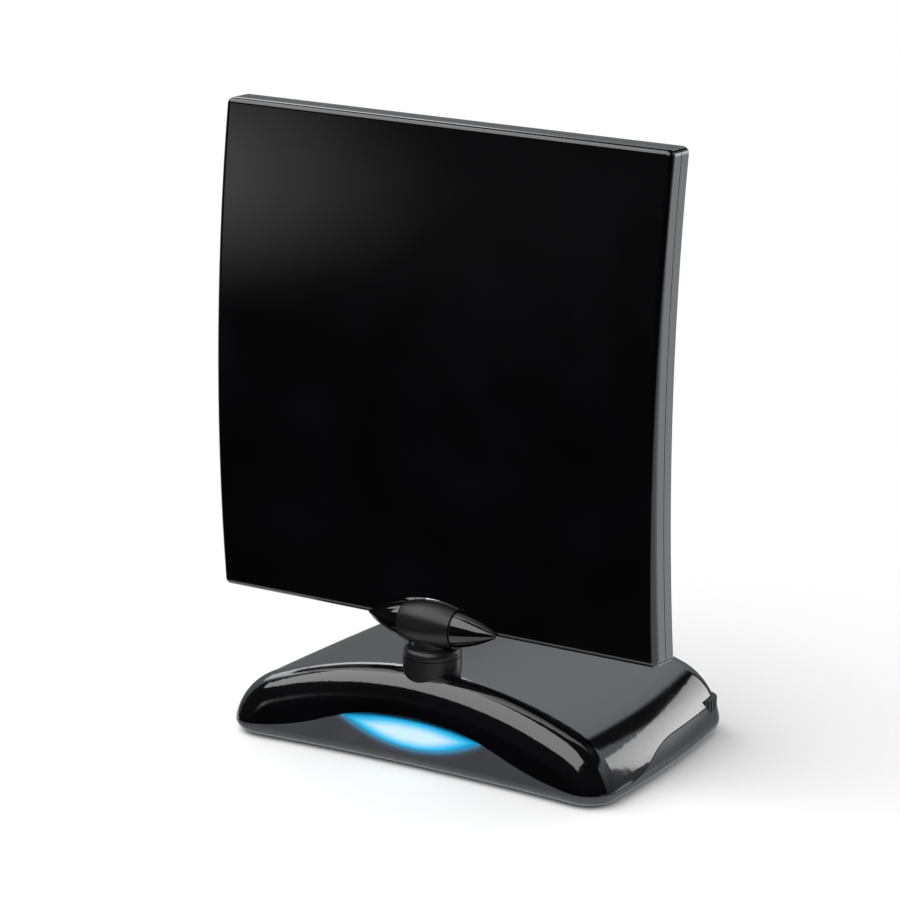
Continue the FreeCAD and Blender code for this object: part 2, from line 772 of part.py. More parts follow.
jack_body = block("jack_body", (d.jack_x - d.jack_width / 2, back_y - d.jack_depth, amp_top),
                  (d.jack_x + d.jack_width / 2, back_y, amp_top + d.jack_height))
jack_bore = rod("jack_bore", d.jack_bore, (d.jack_x, back_y - d.jack_bore_depth, d.side_high),
                d.jack_bore_depth + d.base_wall, "y")
node("power_jack", cut("jack", jack_body, jack_bore))
node("power_jack_pin", rod("jack_pin", d.jack_pin, (d.jack_x, back_y - d.jack_bore_depth, d.side_high),
                           d.jack_bore_depth - d.base_wall / 2, "y"))


# Base: gain control

pot_body = block("pot_body", (wheel_x - d.pot_size / 2, wheel_y - d.pot_size / 2, pot_top - d.pot_height),
                 (wheel_x + d.pot_size / 2, wheel_y + d.pot_size / 2, pot_top))
pot_spindle = rod("pot_spindle", d.pot_spindle, (wheel_x, wheel_y, pot_top - d.pot_height / 2),
                  d.pot_height / 2 + d.swivel_gap + d.wheel_thick)
node("gain_potentiometer", fuse("potentiometer", common("pot_trimmed", pot_body, inner), pot_spindle))


def gain_wheel():
    disc = rod("wheel_disc", d.wheel_radius, (wheel_x, wheel_y, wheel_low), d.wheel_thick)
    bore = rod("wheel_bore", d.pot_spindle + d.running_gap, (wheel_x, wheel_y, wheel_low), d.wheel_thick)
    grips = []
    for number in range(int(d.wheel_grips.value)):
        turn = 2 * math.pi * number / int(d.wheel_grips.value)
        grip_x = wheel_x + d.wheel_radius * math.cos(turn)
        grip_y = wheel_y + d.wheel_radius * math.sin(turn)
        grips.append(rod(f"wheel_grip_{number}", d.grip_radius, (grip_x, grip_y, wheel_low), d.wheel_thick))
    return cut("wheel", disc, bore, *grips)


node("gain_wheel", gain_wheel())


# Swivel: socket in the base, knuckle that turns in it

def swivel_socket():
    collar = rod("collar", d.collar_radius, (0, axis_y, floor_z), d.collar_top - floor_z)
    collar = cut("collar_on_cover", collar, outer)
    post = rod("post", d.post_radius, (0, axis_y, floor_z), d.collar_top - floor_z)
    journal = rod("journal_bore", d.journal_radius + d.running_gap, (0, axis_y, d.shoulder_height),
                  d.collar_top)
    chamber = rod("chamber", d.chamber_radius, (0, axis_y, floor_z + d.base_floor),
                  d.shoulder_height - floor_z - d.base_floor)
    window = block("post_window", (-d.lead_bend, axis_y, floor_z + d.base_floor),
                   (d.lead_bend, axis_y + 2 * d.post_radius, d.ring_boss_high + d.lead_bend))
    return cut("socket", fuse("socket_blank", collar, post), journal, chamber, window)


node("swivel_socket", swivel_socket())


def ring(name, inner_radius, outer_radius, low, thick):
    outside = rod(f"{name}_outside", outer_radius, (0, axis_y, low), thick)
    return cut(name, outside, rod(f"{name}_inside", inner_radius, (0, axis_y, low), thick))


washer_low = d.shoulder_height - d.washer_thick
clip_low = washer_low - d.swivel_gap - d.clip_thick
node("swivel_washer", ring("swivel_ring", d.stem_radius + d.swivel_gap, d.chamber_radius - d.seat_gap,
                           washer_low, d.washer_thick))
node("swivel_clip", ring("clip_ring", d.stem_radius, d.clip_radius, clip_low, d.clip_thick))


def knuckle():
    body = new_body("barrel_form")
    place(body, 0, axis_y, d.hinge_height)
    half = d.barrel_length / 2
    section = sketch(body, "XZ_Plane", "barrel_section")
    trace(section, [(-half, ZERO), (half, ZERO), (half, d.barrel_end_radius), (-half, d.barrel_end_radius)],
          {2: arc_radius(half, d.barrel_radius - d.barrel_end_radius)})
    revolve(body, "barrel_turn", section, "H_Axis")
    neck = new_body("neck_form")
    place(neck, 0, axis_y, ZERO)
    profile = sketch(neck, "XZ_Plane", "neck_section")
    trace(profile, [(ZERO, d.stem_low), (d.stem_radius, d.stem_low), (d.stem_radius, d.shoulder_height),
                    (d.journal_radius, d.shoulder_height), (d.journal_radius, stem_top),
                    (d.collar_radius, stem_top), (d.collar_radius, flange_top - d.flange_round),
                    (d.collar_radius - d.flange_round, flange_top), (d.throat_radius, flange_top),
                    (d.throat_radius, d.hinge_height), (ZERO, d.hinge_height)], {6: d.flange_round})
    revolve(neck, "neck_turn", profile, "V_Axis")
    cross_bore = rod("cross_bore", d.trunnion_radius + d.running_gap, (-half, axis_y, d.hinge_height),
                     d.barrel_length, "x")
    neck_bore = rod("neck_bore", d.trunnion_radius - d.running_gap, (0, axis_y, d.stem_low),
                    d.hinge_height - d.stem_low)
    return cut("knuckle_moulding", fuse("knuckle_blank", body, neck), cross_bore, neck_bore)


node("knuckle", knuckle())


# Panel: covers, drawn about the tilt axis

def bow_depth(depth, z):
    """Distance behind the tilt axis of the bowed surface this deep in the panel, at height z."""
    radius = bow_radius - depth
    rise = z - bow_z
    return bow_y - root(radius * radius - rise * rise)


def slab(name, near_depth, far_depth, inset):
    """A layer of the bowed panel between two depths, drawn in by inset round its edge."""
    body = new_body(name)
    low = inset - d.panel_drop
    high = d.panel_height - d.panel_drop - inset
    section = sketch(body, "YZ_Plane", f"{name}_section")
    trace(section, [(bow_depth(near_depth, low), low), (bow_depth(near_depth, high), high),
                    (bow_depth(far_depth, high), high), (bow_depth(far_depth, low), low)],
          {0: -(bow_radius - near_depth), 2: bow_radius - far_depth})
    extrude(body, "Pad", f"{name}_pad", section, d.panel_width - 2 * inset, both_ways=True)
    return body


def round_cover(body, name, face_depth):
    """Round the cover's four corners, then the edge round its face."""
    half = d.panel_width.value / 2

    def across(edge):
        points = edge_points(edge)
        at_side = all(near(abs(p.x), half) for p in points)
        return at_side and near(points[0].z, points[2].z)

    def on_face(edge):
        radius = (bow_radius - face_depth).value
        return all(near(math.hypot(p.y - bow_y.value, p.z - bow_z.value), radius) for p in edge_points(edge))

    round_edges(body, f"{name}_corners", d.panel_corner, across)
    round_edges(body, f"{name}_edge", d.panel_edge, on_face)
    return body


def notch(name, grow):
    """The arched cut-out round the barrel, wider and higher by grow."""
    body = new_body(name)
    half = horn_start + grow
    shoulder = d.barrel_end_radius + d.notch_room + grow
    low = -(d.barrel_radius + d.notch_room)
    arch = sketch(body, "XZ_Plane", f"{name}_arch")
    trace(arch, [(-half, low), (half, low), (half, shoulder), (-half, shoulder)],
          {2: arc_radius(half, d.barrel_radius - d.barrel_end_radius)})
    extrude(body, "Pad", f"{name}_pad", arch, 4 * d.panel_depth, both_ways=True)
    return body


def horn():
    """The pointed half-spindle beside the barrel, on the right."""
    body = new_body("horn_right")
    wide = d.barrel_end_radius - d.horn_step
    length = d.horn_reach - horn_start
    drop = wide - d.horn_tip
    half_chord = root(length * length + drop * drop) / 2
    section = sketch(body, "XZ_Plane", "horn_section")
    trace(section, [(horn_start, ZERO), (d.horn_reach, ZERO), (d.horn_reach, d.horn_tip), (horn_start, wide)],
          {2: arc_radius(half_chord, d.horn_swell)})
    revolve(body, "horn_turn", section, "H_Axis")
    return body


half_depth = d.panel_depth / 2
front_rim = half_depth - d.panel_gap / 2
rear_rim = half_depth + d.panel_gap / 2


def panel_front_cover():
    skin = round_cover(slab("front_skin", ZERO, front_rim, ZERO), "front_skin", ZERO)
    hollow = slab("front_hollow", d.panel_wall, half_depth, d.panel_wall)
    hollow = cut("front_room", hollow, notch("front_notch_wall", d.panel_wall))
    tray = cut("front_tray", skin, hollow)
    bosses = []
    pilots = []
    for n, (x, z) in enumerate(panel_screws_at):
        start = bow_depth(d.panel_wall / 2, z)
        bosses.append(rod(f"front_boss_{n}", d.panel_boss_radius, (x, start, z), aerial_front - start, "y"))
        pilots.append(rod(f"front_pilot_{n}", d.panel_screw_radius + d.running_gap,
                          (x, aerial_front - d.panel_screw_bite, z), d.panel_screw_bite, "y"))
    right = horn()
    left = doc.addObject("Part::Mirroring", "horn_left")
    left.Source = right
    left.Normal = Vector(1, 0, 0)
    rim_y = bow_depth(front_rim, d.barrel_radius)
    reach = d.barrel_radius
    ahead = block("ahead_of_rim", (-d.horn_reach - reach, -reach, -reach),
                  (d.horn_reach + reach, rim_y, reach))
    horns = common("horns", fuse("horn_pair", right, left), ahead)
    seats = [rod("trunnion_seat_left", d.trunnion_radius + d.running_gap,
                 (-d.trunnion_outer, 0, 0), d.trunnion_outer, "x"),
             rod("trunnion_seat_right", d.trunnion_radius + d.running_gap, (0, 0, 0), d.trunnion_outer, "x")]
    along = rod("lead_channel_along", d.channel_radius, (-d.channel_x - d.channel_radius, 0, 0),
                d.channel_x, "x")
    upward = doc.addObject("Part::Cylinder", "lead_channel_up")
    bind(upward, Radius=d.channel_radius, Height=2 * half_depth)
    place(upward, -d.channel_x, 0, 0, Rotation(Vector(1, 0, 0), -45))
    elbow = rod("lead_elbow", d.channel_radius + d.lead_bend / 3, (-d.channel_x - d.lead_bend / 2, 0, 0),
                1.5 * d.lead_bend, "x")
    return cut("front_cover", fuse("front_blank", tray, horns, *bosses), notch("front_notch", ZERO),
               *seats, along, upward, elbow, *pilots)


def panel_rear_cover():
    skin = round_cover(slab("rear_skin", rear_rim, d.panel_depth, ZERO), "rear_skin", d.panel_depth)
    hollow = slab("rear_hollow", half_depth, d.panel_depth - d.panel_wall, d.panel_wall)
    hollow = cut("rear_room", hollow, notch("rear_notch_wall", d.panel_wall))
    tray = cut("rear_tray", skin, hollow)
    bosses = []
    holes = []
    for n, (x, z) in enumerate(panel_screws_at):
        finish = bow_depth(d.panel_depth - d.panel_wall / 2, z)
        bosses.append(rod(f"rear_boss_{n}", d.panel_boss_radius, (x, aerial_back, z),
                          finish - aerial_back, "y"))
        holes.append(rod(f"rear_hole_{n}", d.panel_screw_radius + d.running_gap, (x, aerial_back, z),
                         d.panel_depth, "y"))
        holes.append(rod(f"rear_sink_{n}", d.panel_head_radius + d.seat_gap, (x, head_seat(z), z),
                         d.panel_depth, "y"))
    return cut("rear_cover", fuse("rear_blank", tray, *bosses), notch("rear_notch", ZERO), *holes)


def head_seat(z):
    """How far back the panel screws' heads sit."""
    return bow_depth(d.panel_depth, z) - d.panel_head_thick - d.seat_gap


def panel_screw(number, x, z):
    start = aerial_front - d.panel_screw_bite
    head = rod(f"panel_screw_head_{number}", d.panel_head_radius, (x, head_seat(z), z),
               d.panel_head_thick, "y")
    shank = rod(f"panel_screw_shank_{number}", d.panel_screw_radius, (x, start, z),
                head_seat(z) - start + d.panel_head_thick / 2, "y")
    return fuse(f"panel_screw_{number}", head, shank)


panel_node("panel_front_cover", panel_front_cover())
panel_node("panel_rear_cover", panel_rear_cover())
panel_screws = [panel_screw(n, x, z) for n, (x, z) in enumerate(panel_screws_at)]
panel_node("panel_screws", group("panel_screw_set", panel_screws))


# Panel: antenna board, copper and balun

aerial_blank = block("aerial_blank", (-d.aerial_width / 2, aerial_front, aerial_z - d.aerial_height / 2),
                     (d.aerial_width / 2, aerial_back, aerial_z + d.aerial_height / 2))
aerial_holes = [rod(f"aerial_hole_{n}", d.panel_screw_radius + d.running_gap, (x, aerial_front, z),
                    d.aerial_thick, "y")
                for n, (x, z) in enumerate(panel_screws_at)]
panel_node("antenna_board", cut("aerial_board", aerial_blank, *aerial_holes))

for place_name, side in (("left", -1), ("right", 1)):
    middle = side * (d.loop_inner_x + d.loop_outer_x) / 2
    half = (d.loop_outer_x - d.loop_inner_x) / 2
    copper_front = aerial_front - d.copper_thick
    loop = block(f"loop_{place_name}", (middle - half, copper_front, aerial_z - d.loop_half_height),
                 (middle + half, aerial_front, aerial_z + d.loop_half_height))
    hole_half = half - d.copper_track
    hole_rise = d.loop_half_height - d.copper_track
    window = block(f"loop_window_{place_name}", (middle - hole_half, copper_front, aerial_z - hole_rise),
                   (middle + hole_half, aerial_front, aerial_z + hole_rise))
    panel_node(f"copper_element_{place_name}", cut(f"copper_{place_name}", loop, window))

balun_block = block("balun_block",
                    (-d.balun_size / 2, aerial_front - d.balun_thick, aerial_z - d.balun_size / 2),
                    (d.balun_size / 2, aerial_front, aerial_z + d.balun_size / 2))
panel_node("balun", group("balun_case", [balun_block]))


# Hinge: trunnions and friction washers, fixed to the panel

for place_name, side in (("left", -1), ("right", 1)):
    middle = side * (d.trunnion_inner + d.trunnion_outer) / 2
    length = d.trunnion_outer - d.trunnion_inner
    sleeve = rod(f"trunnion_sleeve_{place_name}", d.trunnion_radius, (middle - length / 2, 0, 0), length, "x")
    hole = rod(f"trunnion_hole_{place_name}", d.channel_radius, (middle - length / 2, 0, 0), length, "x")
    panel_node(f"trunnion_{place_name}", cut(f"trunnion_tube_{place_name}", sleeve, hole))
    thick = d.horn_gap - d.swivel_gap
    washer_x = side * (horn_start - thick / 2) - thick / 2
    washer_radius = d.barrel_end_radius - 2 * d.horn_step
    disc = rod(f"washer_disc_{place_name}", washer_radius, (washer_x, 0, 0), thick, "x")
    hole = rod(f"washer_hole_{place_name}", d.trunnion_radius + d.running_gap, (washer_x, 0, 0), thick, "x")
    panel_node(f"friction_washer_{place_name}", cut(f"friction_ring_{place_name}", disc, hole))


# Leads: the feed runs from the balun through the left trunnion and the neck to the amplifier

lead_y = aerial_front - d.lead_radius - d.seat_gap
cavity_low = bow_depth(half_depth, d.barrel_radius + 4 * d.panel_wall)
panel_route = [(ZERO, lead_y, aerial_z - d.balun_size / 2),
               (ZERO, lead_y, aerial_z - (d.aerial_height + d.lead_bend) / 2),
               (-d.channel_x / 2, cavity_low, d.barrel_radius + 6 * d.panel_wall),
               (-d.channel_x, cavity_low, d.barrel_radius + 3 * d.panel_wall),
               (-d.channel_x, cavity_low, cavity_low), (-d.channel_x, ZERO, ZERO), (-d.lead_bend, ZERO, ZERO)]
panel_node("feed_lead_panel", lead("panel_lead", panel_route, d.lead_radius))
neck_split = d.stem_low + d.lead_bend
neck_route = [(-d.lead_bend, axis_y, d.hinge_height), (ZERO, axis_y, d.hinge_height),
              (ZERO, axis_y, neck_split)]
node("feed_lead_neck", lead("neck_lead", neck_route, d.lead_radius))
base_level = amp_top + d.lead_radius
base_route = [(ZERO, axis_y, neck_split), (ZERO, axis_y, base_level), (ZERO, can_front, base_level)]
node("feed_lead_base", lead("base_lead", base_route, d.lead_radius))
thin_level = amp_top + d.thin_lead_radius
light_lead_x = d.light_post_x / 2 + d.light_post
light_route = [(light_lead_x, light_back, light_mid), (light_lead_x, axis_y + d.post_radius, light_mid),
               (light_lead_x, front_y + d.amp_front - d.lead_bend, thin_level),
               (light_lead_x, front_y + d.can_front, thin_level)]
node("light_lead", lead("thin_light_lead", light_route, d.thin_lead_radius))
gain_lead_y = wheel_y - 0.4 * d.pot_size
gain_level = pot_top - d.pot_height / 2
amp_right = d.amp_width / 2
gain_route = [(wheel_x - d.pot_size / 2, gain_lead_y, gain_level),
              (amp_right + d.lead_bend, gain_lead_y, gain_level), (amp_right, gain_lead_y, thin_level),
              (amp_right - d.lead_bend, gain_lead_y, thin_level)]
node("gain_lead", lead("thin_gain_lead", gain_route, d.thin_lead_radius))

doc.recompute()

for thing in doc.Objects:
    if "Invalid" in thing.State or "Error" in thing.State:
        raise RuntimeError(f"{thing.Label} failed: {thing.State}")
for thing in nodes:
    if thing.Shape.isNull() or not thing.Shape.isValid() or not thing.Shape.Solids:
        raise RuntimeError(f"{thing.Label} has no valid solid")

os.makedirs("parts", exist_ok=True)
for thing in nodes:
    thing.Shape.exportStep(f"parts/{thing.Label}.step")
print(f"wrote {len(nodes)} nodes")
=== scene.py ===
"""Looks of the indoor television antenna: piano-black panel and base, satin neck and fascia, lit blue eye.

Metres, +Z up, the front towards -Y, in the same frame as the solids.
"""
import math

import bmesh
import bpy
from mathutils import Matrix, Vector


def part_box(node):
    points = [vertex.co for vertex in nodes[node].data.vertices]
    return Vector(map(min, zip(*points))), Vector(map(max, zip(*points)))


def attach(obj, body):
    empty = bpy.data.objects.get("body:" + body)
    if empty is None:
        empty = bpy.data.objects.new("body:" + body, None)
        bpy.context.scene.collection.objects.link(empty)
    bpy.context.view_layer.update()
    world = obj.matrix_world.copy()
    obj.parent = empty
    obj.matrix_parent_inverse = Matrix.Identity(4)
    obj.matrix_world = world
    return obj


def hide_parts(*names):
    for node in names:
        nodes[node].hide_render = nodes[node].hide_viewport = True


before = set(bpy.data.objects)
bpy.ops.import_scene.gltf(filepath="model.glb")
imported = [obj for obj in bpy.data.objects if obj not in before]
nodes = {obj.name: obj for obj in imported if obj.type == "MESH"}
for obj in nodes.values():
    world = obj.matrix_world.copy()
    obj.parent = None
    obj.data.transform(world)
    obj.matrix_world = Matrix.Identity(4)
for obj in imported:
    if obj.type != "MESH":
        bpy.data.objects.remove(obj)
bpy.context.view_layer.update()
MM = 0.001


# Colour and node helpers

def linear(hex_colour, alpha=1.0):
    """An sRGB hex colour as linear RGBA."""
    channels = [int(hex_colour[i:i + 2], 16) / 255 for i in (1, 3, 5)]
    return tuple(c / 12.92 if c <= 0.04045 else ((c + 0.055) / 1.055) ** 2.4 for c in channels) + (alpha,)


def add(tree, kind, settings=None, inputs=None, stops=()):
    """Add a node: properties, inputs by name or number (a value or a socket) and colour stops."""
    made = tree.nodes.new(kind)
    for name, value in (settings or {}).items():
        setattr(made, name, value)
    for key, value in (inputs or {}).items():
        if isinstance(value, bpy.types.NodeSocket):
            tree.links.new(value, made.inputs[key])
        else:
            made.inputs[key].default_value = value
    for number, (position, colour) in enumerate(stops):
        elements = made.color_ramp.elements
        stop = elements[number] if number < len(elements) else elements.new(position)
        stop.position = position
        stop.color = colour
    return made


def new_material(name, **surface):
    """A node material; returns it, its tree, its surface shader and its object coordinates."""
    material = bpy.data.materials.new(name)
    material.use_nodes = True
    tree = material.node_tree
    tree.nodes.clear()
    sockets = {key.replace("_", " "): value for key, value in surface.items()}
    shader = add(tree, "ShaderNodeBsdfPrincipled", None, sockets)
    add(tree, "ShaderNodeOutputMaterial", None, {"Surface": shader.outputs["BSDF"]})
    place = add(tree, "ShaderNodeTexCoord").outputs["Object"]
    return material, tree, shader, place


def per_mm(size):
    """Texture scale for features of this size in millimetres."""
    return 1000.0 / size


def grey(level):
    """A linear grey as RGBA."""
    return (level, level, level, 1.0)


# The lit eye: the place between two arcs across the front, by their radii and the heights of their centres.
# Its upper arc is flatter than the window's, so the top of the window stays unlit: painted shade of the
# cover's rim.

EYE_CROWN_RADIUS = 204.8 * MM
EYE_CROWN_CENTRE = -185.2 * MM
EYE_KEEL_RADIUS = 64.5 * MM
EYE_KEEL_CENTRE = 73.8 * MM


def eye_reach(tree, place):
    """How far a place lies outside the lit outline in metres, less than zero within it."""
    flat = add(tree, "ShaderNodeVectorMath", {"operation": "MULTIPLY"}, {0: place, 1: (1.0, 0.0, 1.0)})
    reaches = []
    for radius, centre in ((EYE_CROWN_RADIUS, EYE_CROWN_CENTRE), (EYE_KEEL_RADIUS, EYE_KEEL_CENTRE)):
        away = add(tree, "ShaderNodeVectorMath", {"operation": "DISTANCE"},
                   {0: flat.outputs["Vector"], 1: (0.0, 0.0, centre)})
        past = add(tree, "ShaderNodeMath", {"operation": "SUBTRACT"}, {0: away.outputs["Value"], 1: radius})
        reaches.append(past.outputs["Value"])
    farther = add(tree, "ShaderNodeMath", {"operation": "MAXIMUM"}, {0: reaches[0], 1: reaches[1]})
    return farther.outputs["Value"]


# Materials

ABS_IOR = 1.53
LACQUER_IOR = 1.5
POLYCARBONATE_IOR = 1.58
WIPE_TURN = (0.3, 0.5, 0.2)
HAIR_LENGTHS = 90.0
HAIR_ROUGHNESS = 0.05
HAZE_ROUGHNESS = 0.04
# The window glows from its rim to its core, most between the lights' inner and outer reach on each side.
GLOW_RIM = 1.4 * MM
GLOW_CORE = -4.0 * MM
LIGHTS_INNER = 4.0 * MM
LIGHTS_OUTER = 32.0 * MM
# A painted glow on the moulding stands in for its light spilling over it, from one reach to another, and only
# in front of a depth.
SPILL_FROM = -0.5 * MM
SPILL_TO = 4.2 * MM
SPILL_BACK = -45.0 * MM


def piano_black(name, polish):
    """Piano-black ABS under a clear lacquer: a deep mirror, slightly wavy, with wiped haze."""
    material, tree, shader, place = new_material(name, IOR=ABS_IOR, Coat_Weight=1.0, Coat_Roughness=polish,
                                                 Coat_IOR=LACQUER_IOR)
    # Melt flow leaves the black a shade uneven over a few centimetres.
    flow = add(tree, "ShaderNodeTexNoise", None, {"Vector": place, "Scale": per_mm(35), "Detail": 3.0})
    tone = add(tree, "ShaderNodeValToRGB", None, {"Fac": flow.outputs["Fac"]},
               [(0.35, linear("#040405")), (0.65, linear("#08080a"))])
    tree.links.new(tone.outputs["Color"], shader.inputs["Base Color"])
    # Cloth wipes leave a faint haze in patches, crossed by hairlines: really 0.02 mm, drawn at 0.25 mm.
    wipe = add(tree, "ShaderNodeTexNoise", None, {"Vector": place, "Scale": per_mm(40), "Detail": 4.0})
    turned = add(tree, "ShaderNodeMapping", None,
                 {"Vector": place, "Rotation": WIPE_TURN, "Scale": (1.0, 1.0, HAIR_LENGTHS)})
    hairs = add(tree, "ShaderNodeTexNoise", None,
                {"Vector": turned.outputs["Vector"], "Scale": per_mm(22), "Detail": 2.0})
    hair = add(tree, "ShaderNodeMapRange", None,
               {"Value": hairs.outputs["Fac"], 1: 0.66, 2: 0.8, 3: 0.0, 4: HAIR_ROUGHNESS})
    haze = add(tree, "ShaderNodeMapRange", None,
               {"Value": wipe.outputs["Fac"], 1: 0.35, 2: 0.7, 3: polish, 4: polish + HAZE_ROUGHNESS})
    rough = add(tree, "ShaderNodeMath", {"operation": "ADD"},
                {0: haze.outputs["Result"], 1: hair.outputs["Result"]})
    tree.links.new(rough.outputs["Value"], shader.inputs["Roughness"])
    # Sink over the ribs behind the wall makes reflections waver.
    wave = add(tree, "ShaderNodeTexNoise", None, {"Vector": place, "Scale": per_mm(60), "Detail": 0.0})
    bump = add(tree, "ShaderNodeBump", None,
               {"Height": wave.outputs["Fac"], "Strength": 0.01, "Distance": 0.2 * MM})
    tree.links.new(bump.outputs["Normal"], shader.inputs["Normal"])
    tree.links.new(bump.outputs["Normal"], shader.inputs["Coat Normal"])
    return material


def satin_abs(name, colour, roughness, lit=False):
    """Satin ABS from a spark-eroded mould: a soft broad sheen with a fine even grain."""
    material, tree, shader, place = new_material(name, IOR=ABS_IOR)
    base = linear(colour)
    darker = tuple(c * 0.86 for c in base[:3]) + (1.0,)
    cloud = add(tree, "ShaderNodeTexNoise", None, {"Vector": place, "Scale": per_mm(14), "Detail": 3.0})
    tone = add(tree, "ShaderNodeValToRGB", None, {"Fac": cloud.outputs["Fac"]},
               [(0.35, darker), (0.65, base)])
    tree.links.new(tone.outputs["Color"], shader.inputs["Base Color"])
    # Spark erosion leaves pits of about 0.05 mm, drawn at 0.4 mm so that they show.
    pits = add(tree, "ShaderNodeTexNoise", None, {"Vector": place, "Scale": per_mm(0.4), "Detail": 2.0})
    sheen = add(tree, "ShaderNodeMapRange", None,
                {"Value": pits.outputs["Fac"], 1: 0.3, 2: 0.7, 3: roughness - 0.05, 4: roughness + 0.05})
    tree.links.new(sheen.outputs["Result"], shader.inputs["Roughness"])
    bump = add(tree, "ShaderNodeBump", None,
               {"Height": pits.outputs["Fac"], "Strength": 0.15, "Distance": 0.04 * MM})
    tree.links.new(bump.outputs["Normal"], shader.inputs["Normal"])
    if lit:
        # Painted glow: light that leaves the rim of the window is painted as emission a few millimetres over
        # the moulding beside it.
        spill = add(tree, "ShaderNodeMapRange", {"interpolation_type": "SMOOTHERSTEP"},
                    {"Value": eye_reach(tree, place), 1: SPILL_FROM, 2: SPILL_TO, 3: 1.0, 4: 0.0})
        depth = add(tree, "ShaderNodeSeparateXYZ", None, {"Vector": place}).outputs["Y"]
        front = add(tree, "ShaderNodeMath", {"operation": "LESS_THAN"}, {0: depth, 1: SPILL_BACK})
        shown = add(tree, "ShaderNodeMath", {"operation": "MULTIPLY"},
                    {0: spill.outputs["Result"], 1: front.outputs["Value"]})
        glow = add(tree, "ShaderNodeValToRGB", None, {"Fac": shown.outputs["Value"]},
                   [(0.0, grey(0.0)), (0.5, linear("#08384c")), (1.0, linear("#1280ab"))])
        tree.links.new(glow.outputs["Color"], shader.inputs["Emission Color"])
        shader.inputs["Emission Strength"].default_value = 1.0
    return material


def lit_polycarbonate():
    """Opal polycarbonate lit from behind: white in the middle by the lights, clear blue towards its rim."""
    material, tree, shader, place = new_material("lit_polycarbonate", Roughness=0.22, IOR=POLYCARBONATE_IOR,
                                                 Emission_Strength=1.0)
    depth = add(tree, "ShaderNodeMapRange", None,
                {"Value": eye_reach(tree, place), 1: GLOW_RIM, 2: GLOW_CORE, 3: 0.0, 4: 1.0})
    # The lights sit towards the middle, so the ends of the window are bluer.
    across = add(tree, "ShaderNodeSeparateXYZ", None, {"Vector": place}).outputs["X"]
    side = add(tree, "ShaderNodeMath", {"operation": "ABSOLUTE"}, {0: across})
    along = add(tree, "ShaderNodeMapRange", {"interpolation_type": "SMOOTHSTEP"},
                {"Value": side.outputs["Value"], 1: LIGHTS_INNER, 2: LIGHTS_OUTER, 3: 1.05, 4: 0.6})
    # The diffuser's grain mottles the light over about a millimetre.
    mottle = add(tree, "ShaderNodeTexNoise", None, {"Vector": place, "Scale": per_mm(1.2), "Detail": 2.0})
    even = add(tree, "ShaderNodeMapRange", None,
               {"Value": mottle.outputs["Fac"], 1: 0.3, 2: 0.7, 3: 0.96, 4: 1.04})
    bright = add(tree, "ShaderNodeMath", {"operation": "MULTIPLY"},
                 {0: depth.outputs["Result"], 1: along.outputs["Result"]})
    shown = add(tree, "ShaderNodeMath", {"operation": "MULTIPLY"},
                {0: bright.outputs["Value"], 1: even.outputs["Result"]})
    glow = add(tree, "ShaderNodeValToRGB", None, {"Fac": shown.outputs["Value"]},
               [(0.0, linear("#04141c")), (0.1, linear("#0b4f6c")), (0.22, linear("#12a2d6")),
                (0.42, linear("#4dc3f2")), (0.62, linear("#97d9fa")), (0.85, linear("#c6e8f8")),
                (1.0, linear("#d2edf8"))])
    tree.links.new(glow.outputs["Color"], shader.inputs["Emission Color"])
    # Painted glow: the lens's own colour is painted paler where the light behind it is stronger.
    tint = add(tree, "ShaderNodeValToRGB", None, {"Fac": shown.outputs["Value"]},
               [(0.0, linear("#06222f")), (1.0, linear("#0e3a4d"))])
    tree.links.new(tint.outputs["Color"], shader.inputs["Base Color"])
    return material


def plain(name, colour, roughness, metallic=0.0, grain=3.0, depth=0.02):
    """A moulded, rolled or plated finish with slight tone and surface variation."""
    material, tree, shader, place = new_material(name, Metallic=metallic)
    tone = add(tree, "ShaderNodeTexNoise", None, {"Vector": place, "Scale": per_mm(grain), "Detail": 3.0})
    base = linear(colour)
    darker = tuple(c * 0.82 for c in base[:3]) + (1.0,)
    shade = add(tree, "ShaderNodeValToRGB", None, {"Fac": tone.outputs["Fac"]}, [(0.3, darker), (0.7, base)])
    tree.links.new(shade.outputs["Color"], shader.inputs["Base Color"])
    patch = add(tree, "ShaderNodeMapRange", None,
                {"Value": tone.outputs["Fac"], 1: 0.3, 2: 0.7, 3: roughness - 0.06, 4: roughness + 0.06})
    tree.links.new(patch.outputs["Result"], shader.inputs["Roughness"])
    bump = add(tree, "ShaderNodeBump", None,
               {"Height": tone.outputs["Fac"], "Strength": 0.1, "Distance": depth * MM})
    tree.links.new(bump.outputs["Normal"], shader.inputs["Normal"])
    return material


